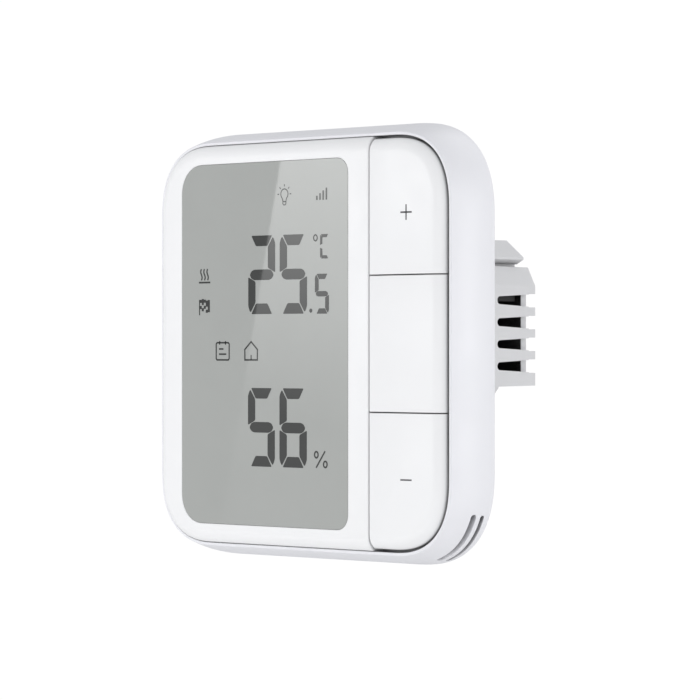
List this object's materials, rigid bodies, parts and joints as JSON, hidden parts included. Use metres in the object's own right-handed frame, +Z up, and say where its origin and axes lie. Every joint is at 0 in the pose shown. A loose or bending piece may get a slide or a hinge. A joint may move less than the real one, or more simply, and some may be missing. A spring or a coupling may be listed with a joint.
{
  "type": "wall thermostat",
  "caption": "Square wall thermostat with a flush display window, hinged keys, a vented sensor corner and a finned power unit with wire terminals that sits in a wall box.",
  "frame": {"origin": "centre of the wall face, midway between the two wall screw slots", "axes": "+X to the right seen from the front, +Y into the wall, +Z up; the front faces -Y"},
  "size_m": [0.086, 0.0442, 0.086],
  "materials": {
    "shell_white": "fine satin moulded white",
    "cover_white": "smooth satin moulded white",
    "display_lens": "polished flush window over a grey display",
    "display_glass": "liquid crystal cell",
    "diffuser": "clear acrylic light guide",
    "inner_white": "plain moulded white",
    "contact_rubber": "layered conductive rubber",
    "steel": "bright drawn steel",
    "black_plastic": "moulded black",
    "gold_plate": "plated contact metal",
    "circuit_board": "solder mask over glass fibre board",
    "foam_grey": "closed cell foam",
    "pod_grey": "fine textured light grey",
    "part_blue": "moulded component body",
    "ferrite": "pressed ferrite",
    "tape_yellow": "wound and taped",
    "can_sleeve": "sleeved can",
    "film_body": "moulded component body",
    "fuse_body": "glazed tube"
  },
  "bodies": {
    "housing": {"side_shell": "shell_white", "front_cover": "cover_white", "display_window": "display_lens", "lcd_panel": "display_glass", "light_guide": "diffuser", "light_reflector": "inner_white", "light_tray": "inner_white", "contact_strip": "contact_rubber", "inner_frame": "inner_white", "hinge_pins": "steel", "switch_bodies": "black_plastic", "switch_covers": "steel", "switch_domes": "gold_plate", "main_board": "circuit_board", "board_screws": "steel", "processor": "black_plastic", "radio_board": "circuit_board", "radio_shield": "steel", "board_socket": "black_plastic", "board_header": "black_plastic", "header_pins": "gold_plate", "sensor_board": "circuit_board", "climate_sensor": "black_plastic", "sensor_baffle": "foam_grey", "base_plate": "inner_white", "pod_screws": "steel", "pod_housing": "pod_grey", "power_board": "circuit_board", "power_board_screws": "steel", "relay": "part_blue", "transformer_core": "ferrite", "transformer_bobbin": "tape_yellow", "capacitors": "can_sleeve", "film_capacitor": "film_body", "varistor": "part_blue", "fuse": "fuse_body", "terminal_block": "pod_grey", "terminal_clamps": "gold_plate", "terminal_screws": "steel"},
    "plus_key": {"key_plus": "cover_white"},
    "middle_key": {"key_middle": "cover_white"},
    "minus_key": {"key_minus": "cover_white"},
    "plus_stem": {"switch_stem_plus": "inner_white"},
    "middle_stem": {"switch_stem_middle": "inner_white"},
    "minus_stem": {"switch_stem_minus": "inner_white"}
  },
  "joints": [
    {"name": "plus_key_press", "type": "hinge", "parent": "housing", "child": "plus_key", "pos_m": [0.0218, -0.0097, 0.02653], "axis": [0, 0, 1], "range_deg": [0, 1.5], "stiffness_Nm_per_rad": 0.8},
    {"name": "middle_key_press", "type": "hinge", "parent": "housing", "child": "middle_key", "pos_m": [0.0218, -0.0097, 0], "axis": [0, 0, 1], "range_deg": [0, 1.5], "stiffness_Nm_per_rad": 0.8},
    {"name": "minus_key_press", "type": "hinge", "parent": "housing", "child": "minus_key", "pos_m": [0.0218, -0.0097, -0.02653], "axis": [0, 0, 1], "range_deg": [0, 1.5], "stiffness_Nm_per_rad": 0.8},
    {"name": "plus_stem_slide", "type": "slide", "parent": "housing", "child": "plus_stem", "axis": [0, 1, 0], "range_m": [0, 0.00025]},
    {"name": "middle_stem_slide", "type": "slide", "parent": "housing", "child": "middle_stem", "axis": [0, 1, 0], "range_m": [0, 0.00025]},
    {"name": "minus_stem_slide", "type": "slide", "parent": "housing", "child": "minus_stem", "axis": [0, 1, 0], "range_m": [0, 0.00025]}
  ],
  "couplings": [
    {"joint": "plus_stem_slide", "follows": "plus_key_press", "m_per_rad": 0.0092},
    {"joint": "middle_stem_slide", "follows": "middle_key_press", "m_per_rad": 0.0092},
    {"joint": "minus_stem_slide", "follows": "minus_key_press", "m_per_rad": 0.0092}
  ]
}
